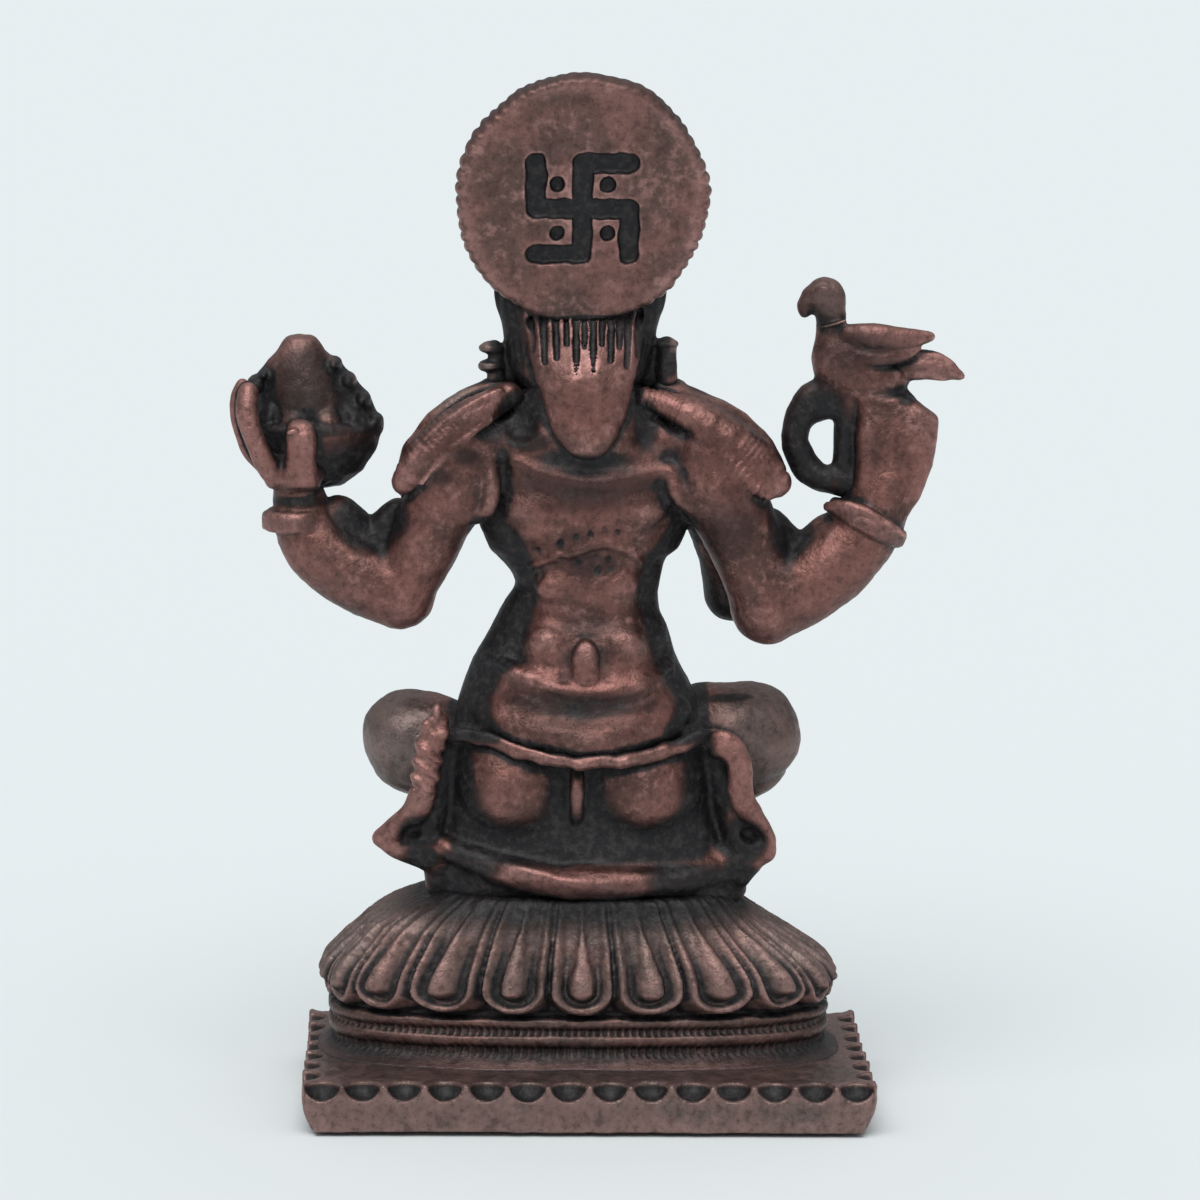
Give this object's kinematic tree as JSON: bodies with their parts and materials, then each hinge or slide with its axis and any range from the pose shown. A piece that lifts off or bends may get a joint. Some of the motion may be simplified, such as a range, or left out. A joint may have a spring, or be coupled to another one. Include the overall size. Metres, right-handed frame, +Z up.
{
  "type": "saraswati figure",
  "caption": "Small cast metal figure of a seated goddess with a round halo, raised arms, a pot and a parrot, on a lotus, an oval drum and a flat plinth.",
  "frame": {"origin": "centre of the plinth's underside, on the surface the figure stands on", "axes": "+Z up, the figure faces -Y, +X is the figure's own left"},
  "size_m": [0.0531, 0.024, 0.0749],
  "materials": {
    "antique_copper": "antique copper, rubbed reddish brown on what stands out and nearly black in the recesses"
  },
  "bodies": {
    "root": {"saraswati_figure": "antique_copper"}
  },
  "joints": []
}
